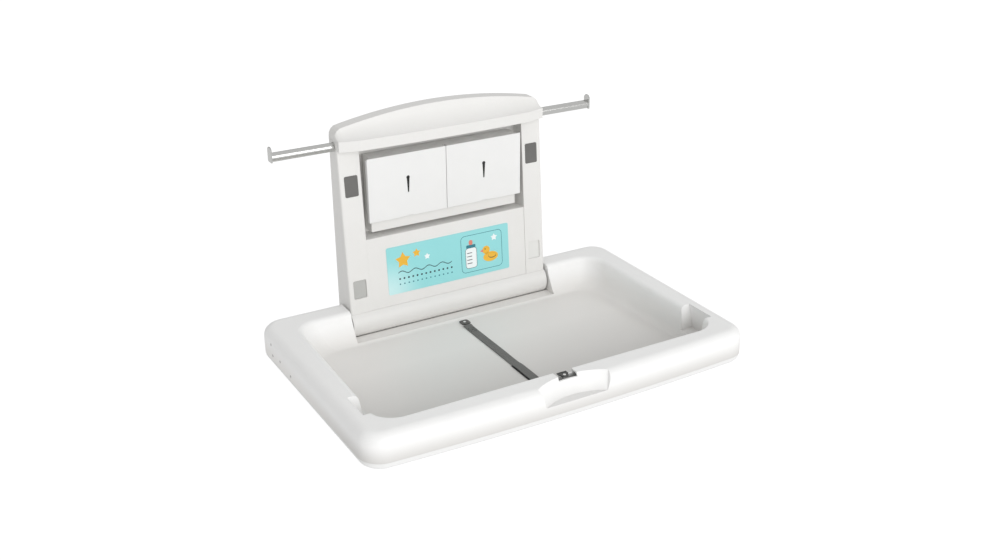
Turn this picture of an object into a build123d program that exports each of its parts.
"""Wall-mounted folding changing table: one STEP file for each piece, in mm.

Heights are given from the top of the bed's rim. finish() moves every piece up or
down so that the origin is the centre of the four wall bolts. X is to the right,
Y points into the wall and the wall's surface is Y = 0, Z is up.
"""
from build123d import *
import math
import os

os.makedirs("parts", exist_ok=True)

# ---------------------------------------------------------------- clearances
gap = 0.3            # between surfaces that move past each other
fit_gap = 0.05       # radial play of a pin or shaft in a bore that turns on it
tight = 0.02         # radial play of a shaft or bar in a bore that holds it

# ---------------------------------------------------------------- mouldings
bed_wall = 3.5
case_wall = 3.0
case_front_wall = 4.0
box_wall = 2.0
door_wall = 2.5

# ---------------------------------------------------------------- bed outline
bed_half = 430.0
bed_back = 8.0
bed_front = 570.0
bed_bow = 13.0
bed_corner_r = 45.0
rim_edge_r = 22.0
parting_z = -56.0
pan_edge_r = 18.0
crown = [(60.0, 6.0), (120.0, 11.5), (160.0, 13.6), (185.0, 14.2)]  # inset, depth

# ---------------------------------------------------------------- basin
# height, half width at the back, half width at the front, back, front, corner
basin_rows = [
    (-12.0, 366.0, 378.0, 74.0, 513.5, 45.0),
    (-28.0, 364.0, 376.0, 81.0, 512.0, 46.0),
    (-44.0, 360.0, 372.0, 90.0, 509.0, 48.0),
    (-56.0, 353.0, 365.0, 98.0, 502.0, 50.0),
    (-62.0, 345.0, 357.0, 106.0, 494.0, 52.0),
    (-65.5, 333.0, 345.0, 118.0, 482.0, 54.0),
    (-67.0, 320.0, 332.0, 131.0, 469.0, 54.0),
]
strap_lands = 148.0    # where the strap comes to lie on the floor
basin_lip_r = 12.0     # rounding of the rim into the back and side walls
lip_angles = [90.0, 60.0, 30.0]
basin_front_top = 514.0
ledge_z = -62.0

# ---------------------------------------------------------------- hinge
axis_y = -44.0
axis_z = -38.0
cover_r = 32.5
cover_half = 241.5
notch_half = 245.5
trough_r = 35.0
shaft_r = 8.0
shaft_half = 294.0
hub_r = 20.0
bracket_t = 4.0
bracket_xs = [60.0, 160.0]
damper_r = 24.0
damper_in = 176.0
damper_out = 228.0
rotor_r = 12.7
rotor_in = 184.0
block_in = 254.0
block_out = 282.0
block_r = 19.0
bush_r = 11.0
clip_r = 12.0
clip_t = 2.0

# ---------------------------------------------------------------- housing
case_half = 241.5
case_low = -12.0
case_high = 364.0
case_depth = 63.0      # depth of the front at rim height
case_lean = 0.0743     # how much shallower each mm higher is
case_edge_r = 4.0
stile_in = 193.5
sill_z = 147.0
panel_sink = 1.5
plate_t = 3.0
plate_half = 237.0
plate_low = -100.0
plate_high = 360.0
foot_half = 305.0
foot_low = -92.0
foot_high = -54.0

# ---------------------------------------------------------------- wall bolts
bolt_x = 216.0
bolt_dz = 113.0
bolt_hole_r = 4.5
rim_to_bolts = 155.0   # the pattern's centre above the rim
pocket_half = 15.0
pocket_tall = [45.0, 41.0]   # upper, lower
pocket_skin = 2.5
pocket_corner_r = 3.5
pad_deep = 8.0
pad_sink = 2.5         # lower caps sit behind the front by this much

# ---------------------------------------------------------------- cap
arch_z = 413.6
arch_drop = 4.5e-4
cap_corner_r = 20.0
cap_flat = 30.0
cap_hollow = 0.37      # 0.5 is a straight slope, less is hollow
fascia_y = 62.0
fascia_bow = 5.0       # how far the middle stands proud of its ends
fascia_end_y = 50.0
fascia_half = 199.0
fascia_low = 346.5
fascia_high = 368.5

# ---------------------------------------------------------------- liner box and doors
box_half = 175.0
box_back = 12.0
box_front = 42.0
box_low = 158.0
box_high = 322.0
chin_high = 186.0
door_in = 0.5
door_out = 183.0
door_low = 182.5
door_high = 322.5
door_face = 52.4
door_deep = 10.0
door_edge_r = 1.2
door_travel = 40.0     # how far a door slides up into the cap
rod_r = 1.5
rod_y_at = -46.4
rod_in = 12.0
rod_out = 166.0
ear_t = 3.0            # thickness of the ears that hold the guide rods
ear_half = 3.0
lug_half = 3.2
lug_tall = 14.0
hood_slot = [40.6, 56.0]   # slot under the cap that lets the doors up
key_x = 91.0
key_low = 236.0
key_high = 273.0
key_head_r = 4.0
key_tip_r = 1.5

# ---------------------------------------------------------------- label
label_half = 150.0
label_low = 12.5
label_high = 119.0
label_t = 0.8

# ---------------------------------------------------------------- bag bar
bar_r = 9.5
bar_wall = 1.5
bar_half = 375.0
bar_y = -22.0
bar_z = 351.5
end_wide = 19.0
end_low = 342.3
end_high = 373.0
end_t = 3.0
clamp_x = 216.0
clamp_wide = 16.0
clamp_reach = 4.0      # how far past the bar's middle the clamps wrap

# ---------------------------------------------------------------- pockets for the bar ends
bar_notch = [400.0, 473.0]
bar_notch_out = 398.0
bar_notch_deep = 50.0

# ---------------------------------------------------------------- finger scoop
scoop_floor = -35.0
scoop_low = (69.0, 569.0, 550.0)    # corner x, corner y, middle y
scoop_top = (80.0, 553.0, 530.0)
ring_slot_half = 21.0
ring_slot_deep = 8.0

# ---------------------------------------------------------------- frame in the bed
arm_x = 276.0
arm_wide = 28.0
arm_t = 4.0
arm_top = -71.2
arm_back = 60.0
arm_front = 496.0
crossbar_ys = [190.0, 380.0]
crossbar_deep = 30.0
side_plate_t = 2.5
side_points = [(-85.0, -22.0), (-91.0, -45.0), (-133.0, -39.5), (-190.0, -46.0)]

# ---------------------------------------------------------------- strap
strap_half = 10.0
strap_t = 1.4
strap_lift = 0.5       # between the webbing and what it lies on
tail_from = 343.0      # where the doubled part begins
adjuster_y = 436.0
rear_button = (-122.0, 12.0)


def box(x0, x1, y0, y1, z0, z1):
    """A box between two corners."""
    shape = Box(abs(x1 - x0), abs(y1 - y0), abs(z1 - z0))
    return Pos((x0 + x1) / 2, (y0 + y1) / 2, (z0 + z1) / 2) * shape


def rod_x(y, z, r, x0, x1):
    """A cylinder along X."""
    return Pos((x0 + x1) / 2, y, z) * Rot(0, 90, 0) * Cylinder(r, abs(x1 - x0))


def rod_y(x, z, r, y0, y1):
    """A cylinder along Y."""
    return Pos(x, (y0 + y1) / 2, z) * Rot(90, 0, 0) * Cylinder(r, abs(y1 - y0))


def rod_z(x, y, r, z0, z1):
    """A cylinder along Z."""
    return Pos(x, y, (z0 + z1) / 2) * Cylinder(r, abs(z1 - z0))


def prism_x(points, x0, x1):
    """A polygon of (y, z) points carried along X."""
    wire = Wire.make_polygon([Vector(x0, y, z) for y, z in points], close=True)
    return extrude(Face(wire), amount=x1 - x0, dir=(1, 0, 0))


def prism_y(points, y0, y1):
    """A polygon of (x, z) points carried along Y."""
    wire = Wire.make_polygon([Vector(x, y0, z) for x, z in points], close=True)
    return extrude(Face(wire), amount=y1 - y0, dir=(0, 1, 0))


def prism_z(face, z0, z1):
    """A face drawn at height 0 carried from z0 to z1."""
    return extrude(Pos(0, 0, z0) * face, amount=z1 - z0, dir=(0, 0, 1))


def mirror_x(shape):
    """The same shape on the other side of the middle."""
    return mirror(shape, about=Plane.YZ)


def both(shape):
    """The shape and its mirror image, as separate solids."""
    return [shape, mirror_x(shape)]


def finish(node, shapes):
    """Write the solids of one node, moved to the bolt frame."""
    if not isinstance(shapes, list):
        shapes = [shapes]
    solids = []
    for shape in shapes:
        solids += list(shape.solids())
    moved = [s.moved(Location((0, 0, -rim_to_bolts))) for s in solids]
    out = moved[0] if len(moved) == 1 else Compound(children=moved)
    out.label = node
    export_step(out, f"parts/{node}.step")
    print(node, len(solids), [round(s.volume / 1000, 1) for s in solids][:4])


def round_wire(points, radii, z):
    """A closed outline at height z whose corners are tangent arcs."""
    edges = []
    ends = []
    count = len(points)
    for i, (x, y) in enumerate(points):
        ax, ay = points[i - 1]
        bx, by = points[(i + 1) % count]
        la = math.hypot(ax - x, ay - y)
        lb = math.hypot(bx - x, by - y)
        ua = ((ax - x) / la, (ay - y) / la)
        ub = ((bx - x) / lb, (by - y) / lb)
        angle = math.acos(ua[0] * ub[0] + ua[1] * ub[1])
        r = radii[i]
        run = r / math.tan(angle / 2)
        start = (x + ua[0] * run, y + ua[1] * run)
        stop = (x + ub[0] * run, y + ub[1] * run)
        to_centre = math.hypot(run, r)
        mx, my = ua[0] + ub[0], ua[1] + ub[1]
        ml = math.hypot(mx, my)
        reach = to_centre - r
        mid = (x + mx / ml * reach, y + my / ml * reach)
        ends.append((start, mid, stop))
    for i in range(count):
        start, mid, stop = ends[i]
        arc_points = [Vector(p[0], p[1], z) for p in (start, mid, stop)]
        edges.append(Edge.make_three_point_arc(*arc_points))
        following = ends[(i + 1) % count][0]
        line_from = Vector(stop[0], stop[1], z)
        edges.append(Edge.make_line(line_from, Vector(following[0], following[1], z)))
    return Wire(edges)


def bed_outline(inset):
    """Plan of the bed: straight back and sides, bowed front, round corners."""
    half = bed_half - inset
    back = -(bed_back + inset)
    side_front = -(bed_front - bed_bow - inset)
    with BuildSketch() as plan:
        with BuildLine():
            Line((-half, side_front), (-half, back))
            Line((-half, back), (half, back))
            Line((half, back), (half, side_front))
            ThreePointArc((half, side_front), (0, -(bed_front - inset)), (-half, side_front))
        make_face()
        fillet(plan.vertices(), max(bed_corner_r - inset, 6.0))
    return plan.sketch.face()


def bed_block(inset):
    """Upper half of the bed as a solid, its top edge rounded."""
    block = prism_z(bed_outline(inset), parting_z, -inset)
    top = block.faces().sort_by(Axis.Z)[-1]
    return fillet(top.outer_wire().edges(), rim_edge_r - inset)


def row_shift(i, grow):
    """How far a basin row moves out and down when the wall grows square to itself."""
    if i == 0:
        return grow, 0.0
    if i == len(basin_rows) - 1:
        return 0.0, grow
    run = basin_rows[i - 1][1] - basin_rows[i + 1][1]
    rise = basin_rows[i - 1][0] - basin_rows[i + 1][0]
    size = math.hypot(run, rise)
    return grow * rise / size, grow * run / size


def basin_block(grow):
    """The hollow of the bed as a solid, grown outward by the wall."""
    levels = []
    r = basin_lip_r - grow
    z, back_half, front_half, back, front, corner = basin_rows[0]
    for angle in lip_angles:
        out = basin_lip_r - r * math.cos(math.radians(angle))
        height = -basin_lip_r + r * math.sin(math.radians(angle))
        if angle == lip_angles[0] and grow > 0:
            height = -grow * 0.6
        level = (height, back_half + out, front_half + out, back - out)
        levels.append(level + (basin_front_top + grow, corner + out))
    for i, (z, back_half, front_half, back, front, corner) in enumerate(basin_rows):
        out, down = row_shift(i, grow)
        level = (z - down, back_half + out, front_half + out, back - out)
        levels.append(level + (front + out, corner + out))
    wires = []
    for z, back_half, front_half, back, front, corner in levels:
        points = [
            (-back_half, -back),
            (back_half, -back),
            (front_half, -front),
            (-front_half, -front),
        ]
        wires.append(round_wire(points, [corner] * 4, z))
    return Solid.make_loft(wires, ruled=grow > 0)


def pan_crown(inset):
    """Shallow pillow under the pan."""
    levels = [(pan_edge_r, 0.0)] + crown
    wires = []
    base = parting_z - pan_edge_r + inset
    for step, depth in levels:
        half = bed_half - step - inset * 0.5
        back = -(bed_back + step + inset * 0.5)
        front = -(bed_front - bed_bow - step - inset * 0.5)
        corner = min(max(28.0, step * 0.35), (back - front) / 2 - 6.0)
        points = [(-half, back), (half, back), (half, front), (-half, front)]
        wires.append(round_wire(points, [corner] * 4, base - depth + (0.6 if depth == 0 else 0)))
    return Solid.make_loft(wires)


def pan_block(inset):
    """Lower half of the bed as a solid with a rounded lower edge."""
    low = parting_z - pan_edge_r + inset
    block = prism_z(bed_outline(inset), low, parting_z + 20.0)
    bottom = block.faces().sort_by(Axis.Z)[0]
    block = fillet(bottom.outer_wire().edges(), pan_edge_r - inset)
    high = parting_z + (1.0 if inset > 0 else 0.0)
    block = block & box(-500, 500, -700, 100, low - 1.0, high)
    return block + pan_crown(inset)


def front_y(z, sink=0.0):
    """The housing's leaning front at a height."""
    return -(case_depth - case_lean * z) + sink


# ================================================================ bed, upper shell
bed_skin = bed_block(0.0) - bed_block(bed_wall)
basin_outer = basin_block(bed_wall)
basin_void = basin_block(0.0)

# finger scoop
def scoop_block(grow):
    """Finger scoop in the front, wider and deeper at the top."""
    wires = []
    for (half, corner_y, mid_y), z in ((scoop_low, scoop_floor - grow), (scoop_top, 1.0)):
        wide = half + grow
        a = Vector(-wide, -corner_y + grow, z)
        b = Vector(0, -mid_y + grow, z)
        c = Vector(wide, -corner_y + grow, z)
        d = Vector(wide, -620, z)
        e = Vector(-wide, -620, z)
        wires.append(
            Wire([
                Edge.make_three_point_arc(a, b, c),
                Edge.make_line(c, d),
                Edge.make_line(d, e),
                Edge.make_line(e, a),
            ])
        )
    return Solid.make_loft(wires, ruled=True)


scoop_skin = scoop_block(bed_wall) & bed_block(0.05)


def bar_pocket(side, grow):
    """Pocket in a side wall that takes one end of the bag bar."""
    near, far = bar_notch
    depth = bar_notch_deep + grow
    out = bar_notch_out + grow
    face = [
        (-near + grow, 1.0 if grow == 0 else -0.5),
        (-far - grow, 1.0 if grow == 0 else -0.5),
        (-far - grow, -depth),
        (-near - 14.0 + grow, -depth),
    ]
    return prism_x(face, side * 340.0, side * out)


# trough behind and under the hinge cover
def trough(grow):
    """Space the hinge cover needs, open to the back."""
    r = trough_r + grow
    low = axis_z - r
    return rod_x(axis_y, axis_z, r, -notch_half, notch_half) + box(
        -notch_half, notch_half, axis_y, 5.0, low, axis_z
    )


def notch_void(out):
    """Everything above the ledge in front of the hinge cover."""
    return box(-out, out, -102.0, 5.0, ledge_z, 30.0)


half_in = notch_half + bed_wall
trough_low = axis_z - trough_r - bed_wall
notch_skin = box(-half_in, half_in, -112.0, -bed_back, trough_low, -2.0)
notch_skin = notch_skin & (bed_block(0.05) + prism_z(bed_outline(0.05), -80.0, parting_z))
trough_skin = prism_x(
    [
        (-bed_back, axis_z - trough_r - bed_wall),
        (-bed_back, axis_z),
        (-84.0, axis_z),
        (-112.0, ledge_z - 9.0),
        (-100.0, ledge_z - 9.0),
        (-70.0, axis_z - trough_r - bed_wall),
    ],
    -half_in,
    half_in,
)
side_cheeks = [
    notch_skin & box(s * notch_half, s * half_in, -112.0, 0, -90, 10) for s in (-1, 1)
]

top_shell = bed_skin + basin_outer
top_shell = top_shell - basin_void
extras = side_cheeks + [trough_skin, scoop_skin]
extras += [bar_pocket(side, bed_wall) for side in (-1, 1)]

# screw bosses down to the pan
boss_low = parting_z - pan_edge_r + bed_wall + 0.1
boss_spots = [(s * 406.0, y) for s in (-1, 1) for y in (-40.0, -230.0, -380.0, -500.0)]
boss_spots += [(s * x, -537.0) for s in (-1, 1) for x in (150.0, 320.0)]
for extra in extras:
    top_shell = top_shell + (extra - basin_void)
for x, y in boss_spots:
    top_shell = top_shell + rod_z(x, y, 6.0, boss_low, -2.0)

top_shell = top_shell - notch_void(notch_half) - trough(0.0)
top_shell = top_shell - scoop_block(0.0)
for side in (-1, 1):
    top_shell = top_shell - bar_pocket(side, 0.0)
top_shell = top_shell - box(
    -ring_slot_half, ring_slot_half, -560.0, -500.0, -ring_slot_deep, 10.0
)
for x, y in boss_spots:
    top_shell = top_shell - rod_z(x, y, 1.7, boss_low - 1.0, -12.0)
for side in (-1, 1):
    top_shell = top_shell - rod_x(
        axis_y, axis_z, rotor_r + 0.1, side * (notch_half - 1), side * (half_in + 1)
    )
    for y, z in side_points:
        top_shell = top_shell - rod_x(y, z, 3.1, side * 424.0, side * 432.0)

finish("bed_top_shell", top_shell)

# ================================================================ bed, lower shell
pan = pan_block(0.0) - pan_block(bed_wall)
keel_top = trough_low - gap
keel_half = half_in + gap
pan = pan - box(-keel_half, keel_half, -80.0, 10.0, keel_top, 0.0)
keel_out = keel_half + bed_wall
pan = pan + box(-keel_out, keel_out, -80.0, -bed_back, keel_top - bed_wall, keel_top)
for s in (-1, 1):
    pan = pan + box(s * keel_half, s * keel_out, -70.0, -bed_back, keel_top - 1.0, -68.0)
buffer_x = (262.0, 298.0)
buffer_z = (-70.0, -58.0)
buffer_face = -(plate_t + gap)
buffers = [
    box(s * buffer_x[0], s * buffer_x[1], -16.0, buffer_face, *buffer_z) for s in (-1, 1)
]
for piece in buffers:
    pan = pan - piece
screw_head_r = 3.6
screw_head_t = 1.8
screws = []
for x, y in boss_spots:
    low = parting_z - pan_edge_r
    pan = pan - rod_z(x, y, 1.9, low - 20.0, low + 20.0)
    pan = pan - rod_z(x, y, screw_head_r + 0.1, low - 20.0, low + screw_head_t)
    screw = rod_z(x, y, 1.7, low + screw_head_t, low + 20.0)
    screw = screw + rod_z(x, y, screw_head_r, low, low + screw_head_t)
    screw = screw - box(x - 2.4, x + 2.4, y - 0.4, y + 0.4, low - 1, low + 0.9)
    screw = screw - box(x - 0.4, x + 0.4, y - 2.4, y + 2.4, low - 1, low + 0.9)
    screws.append(screw)
finish("bed_bottom_shell", pan)
finish("bottom_screws", screws)
finish("rear_buffers", buffers)

# ================================================================ bed, side fixings
side_plates = []
side_screws = []
plate_x = bed_half - bed_wall - gap
for s in (-1, 1):
    strip = box(s * (plate_x - side_plate_t), s * plate_x, -204.0, -70.0, -52.0, -28.0)
    strip = strip + box(s * (plate_x - side_plate_t), s * plate_x, -104.0, -70.0, -30.0, -19.0)
    for y, z in side_points:
        strip = strip - rod_x(y, z, 1.6, s * 415.0, s * 430.0)
        head = rod_x(y, z, 3.0, s * (bed_half - 2.2), s * (bed_half - 0.4))
        head = head - box(s * 429.0, s * 430.0, y - 2.0, y + 2.0, z - 0.35, z + 0.35)
        head = head - box(s * 429.0, s * 430.0, y - 0.35, y + 0.35, z - 2.0, z + 2.0)
        side_screws.append(head + rod_x(y, z, 1.55, s * 418.0, s * (bed_half - 2.0)))
    side_plates.append(strip)
finish("side_plates", side_plates)
finish("side_screws", side_screws)

# ================================================================ bed, bearings and frame
blocks = []
bushes = []
arms = []
for s in (-1, 1):
    block = rod_x(axis_y, axis_z, block_r, s * block_in, s * block_out)
    foot = [
        (axis_y + 6.0, axis_z - 14.0),
        (axis_y - 16.0, axis_z - 8.0),
        (-84.0, -66.0),
        (-100.0, arm_top),
        (-56.0, arm_top),
    ]
    block = block + prism_x(foot, s * block_in, s * block_out)
    block = block - rod_x(axis_y, axis_z, bush_r, s * (block_in - 1), s * (block_out + 1))
    for dz in (-1, 1):
        block = block - rod_x(axis_y, axis_z + dz * 15.0, 1.6, s * block_in, s * (block_in + 6))
    blocks.append(block)
    bush = rod_x(axis_y, axis_z, bush_r, s * (block_in + 0.5), s * block_out)
    bushes.append(bush - rod_x(axis_y, axis_z, shaft_r + fit_gap, s * 240, s * 300))
    half = arm_wide / 2
    arm = box(s * (arm_x - 12), s * (arm_x + half), -arm_front, -arm_back, arm_top - arm_t, arm_top)
    arms.append(arm)
bars = []
bolts = []
for y in crossbar_ys:
    reach = arm_x + arm_wide / 2
    top = arm_top - arm_t
    bar = box(-reach, reach, -y - crossbar_deep / 2, -y + crossbar_deep / 2, top - 3.0, top)
    for s in (-1, 1):
        hole = rod_z(s * arm_x, -y, 3.0, top - 10.0, arm_top + 5.0)
        bar = bar - hole
        arms = [arm - hole for arm in arms]
        bolt = rod_z(s * arm_x, -y, 3.0, top - 3.0, arm_top)
        bolts.append(bolt + rod_z(s * arm_x, -y, 5.0, top - 3.0 - 3.0, top - 3.0))
    bars.append(bar)
finish("bearing_blocks", blocks)
finish("shaft_bushes", bushes)
finish("frame_arms", arms)
finish("frame_crossbars", bars)
finish("frame_bolts", bolts)

# ================================================================ hinge on the wall side
shaft = rod_x(axis_y, axis_z, shaft_r, -shaft_half, shaft_half)
finish("hinge_shaft", shaft)
clips = []
for s in (-1, 1):
    ring = rod_x(axis_y, axis_z, clip_r, s * (block_out + 0.6), s * (block_out + 0.6 + clip_t))
    clips.append(ring - rod_x(axis_y, axis_z, shaft_r, s * 270, s * 300))
finish("shaft_clips", clips)
brackets = []
for x in bracket_xs:
    half = bracket_t / 2
    web = rod_x(axis_y, axis_z, hub_r, x - half, x + half)
    web = web + box(x - half, x + half, axis_y, -plate_t, axis_z - 16.0, axis_z + 16.0)
    web = web + box(x - half, x + half + 14.0, -plate_t - 4.0, -plate_t, axis_z - 26.0, axis_z + 18.0)
    web = web - rod_x(axis_y, axis_z, shaft_r + tight, x - 20, x + 30)
    brackets += both(web)
finish("hinge_brackets", brackets)
dampers = []
rotors = []
for s in (-1, 1):
    body = rod_x(axis_y, axis_z, damper_r, s * damper_in, s * damper_out)
    foot = box(s * damper_in, s * damper_out, axis_y + 10.0, -plate_t, axis_z - 12.0, axis_z + 12.0)
    body = body + foot
    body = body - rod_x(axis_y, axis_z, rotor_r + gap, s * (damper_in + 4), s * (damper_out + 1))
    body = body - rod_x(axis_y, axis_z, shaft_r + tight, s * 150, s * 240)
    dampers.append(body)
    rotor = rod_x(axis_y, axis_z, rotor_r, s * rotor_in, s * block_in)
    for dz in (-1, 1):
        key = box(s * (half_in + gap), s * block_in, axis_y - 3, axis_y + 3, axis_z, axis_z + dz * 17.0)
        rotor = rotor + key
        rotor = rotor + rod_x(axis_y, axis_z + dz * 15.0, 1.6, s * (half_in + gap), s * (block_in + 6))
    rotor = rotor - rod_x(axis_y, axis_z, shaft_r + gap, s * 150, s * 300)
    rotors.append(rotor)
finish("damper_bodies", dampers)
finish("damper_rotors", rotors)

# ================================================================ wall plate
plate = box(-plate_half, plate_half, -plate_t, 0.0, plate_low, plate_high)
plate = plate + box(-foot_half, foot_half, -plate_t, 0.0, foot_low, foot_high)
bolt_zs = [rim_to_bolts + bolt_dz, rim_to_bolts - bolt_dz]
for z in bolt_zs:
    for s in (-1, 1):
        plate = plate - rod_y(s * bolt_x, z, bolt_hole_r, -10.0, 5.0)
for x in (-130.0, -65.0, 0.0, 65.0, 130.0):
    for z in (35.0, 100.0):
        plate = plate - rod_y(x, z, 22.0, -10.0, 5.0)

# ================================================================ housing
low_front = front_y(case_low)
high_front = front_y(case_high)
profile = [(0.0, case_low), (low_front, case_low), (high_front, case_high), (0.0, case_high)]
case_outer = prism_x(profile, -case_half, case_half)
long_edges = [
    e for e in case_outer.edges()
    if abs(e.center().X) > case_half - 0.1 and e.length > 370 and e.center().Y < -20
]
case_outer = fillet(long_edges, case_edge_r)
inner = [
    (5.0, case_low - 5.0),
    (front_y(case_low - 5.0, case_front_wall), case_low - 5.0),
    (front_y(case_high + 5.0, case_front_wall), case_high + 5.0),
    (5.0, case_high + 5.0),
]
case_inner = prism_x(inner, -(case_half - case_wall), case_half - case_wall)
recess_back = -(plate_t + gap + case_wall)
recess_skin = box(
    -(stile_in + case_wall), stile_in + case_wall, -90.0, -(plate_t + gap),
    sill_z - case_wall, case_high,
)
recess_void = box(-stile_in, stile_in, -90.0, recess_back, sill_z, case_high + 5.0)
case = case_outer - case_inner
case = case + (recess_skin & case_outer)
pockets = []
for z, tall in zip(bolt_zs, pocket_tall):
    for s in (-1, 1):
        wide = pocket_half + pocket_skin
        high = tall / 2 + pocket_skin
        tube = box(s * bolt_x - wide, s * bolt_x + wide, -90, -(plate_t + gap), z - high, z + high)
        case = case + (tube & case_outer)
        pockets.append((s * bolt_x, z, tall))
case = case - recess_void
floor_y = -(plate_t + gap + case_wall)
for x, z, tall in pockets:
    well = box(x - pocket_half, x + pocket_half, -90.0, floor_y, z - tall / 2, z + tall / 2)
    well = fillet(well.edges().filter_by(Axis.Y), pocket_corner_r)
    case = case - well
    case = case - rod_y(x, z, bolt_hole_r, -20.0, 5.0)
sunk = [
    (-90.0, case_low - 1.0),
    (front_y(case_low - 1.0, panel_sink), case_low - 1.0),
    (front_y(sill_z, panel_sink), sill_z),
    (-90.0, sill_z),
]
case = case - prism_x(sunk, -stile_in, stile_in)
for s in (-1, 1):
    case = case - rod_x(bar_y, bar_z, bar_r + 0.3, s * 180.0, s * 250.0)

pads = []
caps = []
for i, (x, z, tall) in enumerate(pockets):
    upper = tall == pocket_tall[0]
    sink = -0.4 if upper else pad_sink
    half_z = tall / 2 - 0.2
    face = [
        (front_y(z - half_z, sink), z - half_z),
        (front_y(z + half_z, sink), z + half_z),
        (front_y(z + half_z, sink + pad_deep), z + half_z),
        (front_y(z - half_z, sink + pad_deep), z - half_z),
    ]
    pad = prism_x(face, x - pocket_half + 0.2, x + pocket_half - 0.2)
    corners = [e for e in pad.edges().filter_by(GeomType.LINE) if abs(e.length - pad_deep) < 0.05]
    pad = fillet(corners, pocket_corner_r - 0.2)
    (pads if upper else caps).append(pad)
finish("bumper_caps", pads)
finish("pocket_caps", caps)

label_face = [
    (front_y(label_low, panel_sink), label_low),
    (front_y(label_high, panel_sink), label_high),
    (front_y(label_high, panel_sink - label_t), label_high),
    (front_y(label_low, panel_sink - label_t), label_low),
]
label = prism_x(label_face, -label_half, label_half)
corners = [e for e in label.edges() if e.length < label_t + 0.05]
label = fillet(corners, 4.0)
finish("label_plate", label)

# ================================================================ hinge cover
cover_top = case_low - 0.2
cover = rod_x(axis_y, axis_z, cover_r, -cover_half, cover_half)
cover = cover + box(-cover_half, cover_half, axis_y, 0.0, axis_z - cover_r, cover_top)
cover = cover & box(-300, 300, -100, 0.0, -100, cover_top)
cavity_r = cover_r - case_wall
cavity = rod_x(axis_y, axis_z, cavity_r, -cover_half + case_wall, cover_half - case_wall)
cavity = cavity + box(
    -cover_half + case_wall, cover_half - case_wall, axis_y, 5.0, axis_z - cavity_r, 0.0
)
cavity = cavity + box(
    -cover_half + case_wall, cover_half - case_wall, axis_y - 14.0, axis_y, axis_z, 0.0
)
cover = cover - cavity
cover = cover - rod_x(axis_y, axis_z, rotor_r + gap, -260, 260)
cover_in = cover_half - case_wall
cover = cover - box(-cover_in, cover_in, -(plate_t + gap), 5.0, -100.0, 0.0)
cover = cover - box(-260.0, 260.0, -(plate_t + gap), 5.0, -100.0, foot_high + gap)
finish("hinge_cover", cover)


# ================================================================ cap
def arch_top(x, inset):
    """Height of the arched top at a distance from the middle."""
    x = abs(x)
    end = case_half - inset
    r = cap_corner_r - inset
    turn = end - r
    if x <= turn:
        return arch_z - arch_drop * x * x - inset
    base = arch_z - arch_drop * turn * turn - inset - r
    return base + math.sqrt(max(r * r - (x - turn) ** 2, 0.0))


def fascia_at(x):
    """How far forward the fascia stands at a distance from the middle."""
    x = abs(x)
    if x <= fascia_half:
        return fascia_y + fascia_bow * (1.0 - (x / fascia_half) ** 2)
    share = (x - fascia_half) / (case_half - fascia_half)
    return fascia_y + (fascia_end_y - fascia_y) * share


def cap_wire(x, inset):
    """Section of the cap across X."""
    top = arch_top(x, inset)
    front = -(fascia_at(x) - inset)
    high = fascia_high - inset * 0.3
    back = 5.0 if inset else 0.0
    foot = case_high - (5.0 if inset else 0.0) + (0.0 if inset else 0.1)
    lip = front_y(fascia_low) - gap
    if inset:
        lip = lip - inset
    bend_y = -cap_flat + inset * 0.5
    mid_y = bend_y + (front - bend_y) * cap_hollow
    mid_z = high + (top - high) * cap_hollow
    corners = [
        (front, high),
        (front, fascia_low + inset),
        (lip, fascia_low + inset),
        (lip, foot),
        (back, foot),
        (back, top),
        (bend_y, top),
    ]
    points = [Vector(x, y, z) for y, z in corners]
    edges = [Edge.make_line(a, b) for a, b in zip(points[:-1], points[1:])]
    edges.append(Edge.make_three_point_arc(points[-1], Vector(x, mid_y, mid_z), points[0]))
    return Wire(edges)


def cap_solid(inset):
    """The cap as a solid: a smooth middle and two chamfered ends."""
    end = case_half - inset
    turn = case_half - cap_corner_r
    middle = Solid.make_loft([
        cap_wire(x, inset)
        for x in (-fascia_half, -150.0, -75.0, 0.0, 75.0, 150.0, fascia_half)
    ])
    out = middle
    for s in (-1, 1):
        xs = [fascia_half, turn]
        near = Solid.make_loft([cap_wire(s * x, inset) for x in xs], ruled=True)
        r = end - turn
        xs = [turn + r * math.sin(math.radians(a)) for a in (0, 25, 50, 72, 90)]
        far = Solid.make_loft([cap_wire(s * x, inset) for x in xs], ruled=True)
        out = out + near + far
    return out


cap = cap_solid(0.0) - cap_solid(case_wall)
cap = cap - box(
    -(door_out + 2.0), door_out + 2.0, -hood_slot[1], -hood_slot[0], fascia_low - 1.0, fascia_low + 3.0
)
cap = cap.solids().sort_by(SortBy.VOLUME)[-1]
finish("top_cap", cap)

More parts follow.
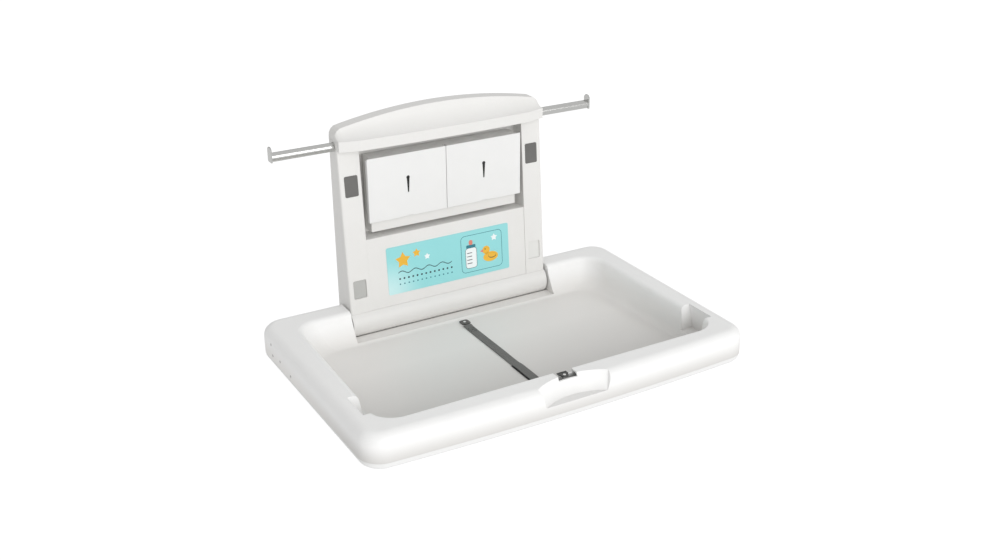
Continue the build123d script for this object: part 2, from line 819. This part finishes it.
# ================================================================ liner box and doors
back_y = -box_back
crate = box(-box_half, box_half, -box_front, back_y, box_low, box_high)
cell_in = box_wall / 2
for s in (-1, 1):
    inner_x = (s * cell_in, s * (box_half - box_wall))
    cell = box(*inner_x, -box_front + box_wall, back_y - box_wall, box_low + box_wall, box_high - box_wall)
    crate = crate - cell
    crate = crate - box(*inner_x, -box_front - 1, -box_front + 5, chin_high, box_high + 1)
rods = []
ear_front = -door_face + door_wall + 0.5
low_ear = chin_high
high_ear = box_high - ear_t
for s in (-1, 1):
    lip = (s * (door_in + door_wall + gap), s * box_half)
    crate = crate + box(*lip, ear_front, -box_front + 4.0, high_ear, box_high)
    for x in (s * rod_in, s * rod_out):
        sides = (x - ear_half, x + ear_half)
        crate = crate + box(*sides, ear_front, -box_front + box_wall, low_ear, low_ear + ear_t)
        crate = crate + box(*sides, -box_front, -box_front + box_wall, low_ear - 6.0, low_ear + ear_t)
        rod = rod_z(x, rod_y_at, rod_r, low_ear + 0.5, box_high - 0.5)
        crate = crate - rod
        rods.append(rod)
    for x in (40.0, 135.0):
        crate = crate - rod_y(s * x, 250.0, 2.1, -20.0, 0.0)
crate_posts = [rod_y(s * x, 250.0, 6.0, back_y, recess_back) for s in (-1, 1) for x in (40.0, 135.0)]
for post in crate_posts:
    crate = crate + post
finish("dispenser_box", crate)
finish("guide_rods", rods)


def keyhole(s, spread):
    """Outline of the key slot: a round head over a slot that tapers."""
    head_z = key_high - key_head_r
    x = s * key_x
    head = rod_y(x, head_z, key_head_r + spread, -70.0, -30.0)
    tail = prism_y(
        [
            (x - key_head_r * 0.85 - spread, head_z),
            (x + key_head_r * 0.85 + spread, head_z),
            (x + key_tip_r + spread, key_low - spread),
            (x - key_tip_r - spread, key_low - spread),
        ],
        -70.0,
        -30.0,
    )
    return head + tail


for s, name in ((-1, "left"), (1, "right")):
    x0, x1 = s * door_in, s * door_out
    slab = box(x0, x1, -door_face, -door_face + door_deep, door_low, door_high)
    rims = [
        e for e in slab.edges()
        if abs(e.center().Y + door_face) < 0.01
    ]
    slab = fillet(rims, door_edge_r)
    hollow = box(
        x0 + s * door_wall, x1 - s * door_wall,
        -door_face + door_wall, -door_face + door_deep + 1,
        door_low + door_wall, door_high + 5,
    )
    door = slab - hollow
    door = door - box(x0, x1, -door_face + door_wall, -30.0, high_ear - gap, door_high + 5)
    for x in (s * rod_in, s * rod_out):
        for low in (low_ear + ear_t + 0.3, high_ear - door_travel - 0.3 - lug_tall):
            lug = box(
                x - lug_half, x + lug_half, -door_face + door_wall / 2, rod_y_at + lug_half,
                low, low + lug_tall,
            )
            door = door + lug
        door = door - rod_z(x, rod_y_at, rod_r + fit_gap, low_ear, box_high)
        door = door - box(
            x - ear_half - gap, x + ear_half + gap, -door_face + door_wall, -30.0,
            door_low - 1.0, door_low + door_wall,
        )
    thumb = rod_y(s * key_x, door_low - 11.0, 14.5, -60.0, -door_face + door_wall + 0.1)
    door = door - thumb
    door = door - keyhole(s, 0.0)
    finish(f"{name}_door", door)
    plug = keyhole(s, -0.1) & box(
        s * key_x - 10, s * key_x + 10, -door_face + 0.6, -door_face + door_wall, 200, 300
    )
    lock = plug + box(
        s * key_x - 8.0, s * key_x + 8.0,
        -door_face + door_wall, -door_face + door_wall + 4.0, key_low - 5.0, key_high + 5.0,
    )
    finish(f"{name}_lock", lock)

# ================================================================ bag bar
bar = rod_x(bar_y, bar_z, bar_r, -bar_half, bar_half)
bar = bar - rod_x(bar_y, bar_z, bar_r - bar_wall, -bar_half - 1, bar_half + 1)
finish("hook_bar", bar)
end_face = [
    (bar_y - end_wide / 2, end_low),
    (bar_y + end_wide / 2, end_low),
    (bar_y + end_wide / 2, end_high - 5.0),
    (bar_y + end_wide / 2 - 5.0, end_high),
    (bar_y - end_wide / 2 + 5.0, end_high),
    (bar_y - end_wide / 2, end_high - 5.0),
]
ends = both(prism_x(end_face, bar_half, bar_half + end_t))
finish("bar_end_plates", ends)
clamps = []
clamp_screws = []
for s in (-1, 1):
    x0, x1 = s * clamp_x - clamp_wide / 2, s * clamp_x + clamp_wide / 2
    high = plate_high
    saddle = box(x0, x1, bar_y - clamp_reach, -plate_t, bar_z - 19.0, high)
    saddle = saddle - rod_x(bar_y, bar_z, bar_r + tight, x0 - 5, x1 + 5)
    spot_z = bar_z - 14.5
    saddle = saddle - rod_y(s * clamp_x, spot_z, 2.0, -60.0, 0.0)
    clamps.append(saddle)
    screw = rod_y(s * clamp_x, spot_z, 2.0, bar_y - clamp_reach, 0.0)
    clamp_screws.append(screw + rod_y(
        s * clamp_x, spot_z, 3.5, bar_y - clamp_reach - 2.0, bar_y - clamp_reach
    ))
    plate = plate - rod_y(s * clamp_x, spot_z, 2.0, -20.0, 5.0)
finish("bar_clamps", clamps)
finish("clamp_screws", clamp_screws)
finish("wall_plate", plate)
finish("housing_shell", case)

# ================================================================ strap
button_y, button_r = rear_button
floor_z = basin_rows[-1][0]
rear = rod_z(0.0, button_y, button_r, floor_z - 1.0, floor_z + 3.6)
rear = rear + rod_z(0.0, button_y, 3.0, floor_z + 3.6, floor_z + 6.0)
ring_y = -(basin_front_top + 8.5)
front = rod_z(0.0, ring_y, 6.0, -ring_slot_deep, -ring_slot_deep + 1.6)
front = front + rod_z(0.0, ring_y, 3.0, -ring_slot_deep + 1.6, -ring_slot_deep + 4.0)
buttons = [(b - top_shell).solids().sort_by(SortBy.VOLUME)[-1] for b in (rear, front)]
finish("strap_buttons", buttons)
loop_z = floor_z + 3.6
loop = box(-10.5, 10.5, button_y - button_r, button_y + 9.0, loop_z, loop_z + 2.0)
loop = fillet(loop.edges().filter_by(Axis.Z), 5.0)
loop = loop - rod_z(0.0, button_y, 3.1, loop_z - 1, loop_z + 5)
finish("rear_strap_loop", loop)
top_z = -ring_slot_deep + 1.6
hook = rod_z(0.0, ring_y, 8.0, top_z, top_z + 2.0) + box(
    -10.5, 10.5, ring_y + 3.0, -(basin_front_top - 3.5), top_z, top_z + 2.0
)
hook = hook - rod_z(0.0, ring_y, 3.1, top_z - 1, top_z + 5)
hook = hook - box(-7.5, 7.5, -(basin_front_top - 0.2), -(basin_front_top - 2.2), -20, 10)
finish("front_strap_loop", hook)


def offset_path(path, reach):
    """The (y, z) path moved sideways, up and away from what it lies on."""
    out = []
    for i, (y, z) in enumerate(path):
        ay, az = path[max(i - 1, 0)]
        by, bz = path[min(i + 1, len(path) - 1)]
        length = math.hypot(by - ay, bz - az)
        out.append((y + (bz - az) / length * reach, z - (by - ay) / length * reach))
    return out


def webbing(path, lift, shift):
    """A strip of webbing lying a little above a path."""
    low = offset_path(path, lift)
    high = offset_path(path, lift + strap_t)
    return prism_x(low + high[::-1], shift - strap_half, shift + strap_half)


climb = [(-row[4], row[0]) for row in basin_rows[::-1]]
lie = climb[:-1] + [(-basin_front_top + 0.6, -ring_slot_deep - 3.5)]
start = [(button_y - button_r - 0.5, floor_z + 1.3), (-strap_lands, floor_z + 0.1)]
finish("strap_webbing", webbing(start + lie, strap_lift, 0.0))
second = strap_lift + strap_t + 0.1
tail = [(-tail_from, floor_z)] + climb[:-1] + [(-basin_front_top + 0.6, -ring_slot_deep - 3.5)]
finish("strap_tail", webbing(tail, second, -1.5))
keeper_low = floor_z + gap
keeper = box(-14.5, 13.0, -adjuster_y - 7.0, -adjuster_y + 7.0, keeper_low, keeper_low + 5.4)
keeper = keeper - box(
    -12.0, 10.5, -adjuster_y - 8.0, -adjuster_y + 8.0, keeper_low + 0.0, keeper_low + 4.0
)
finish("strap_adjuster", keeper)
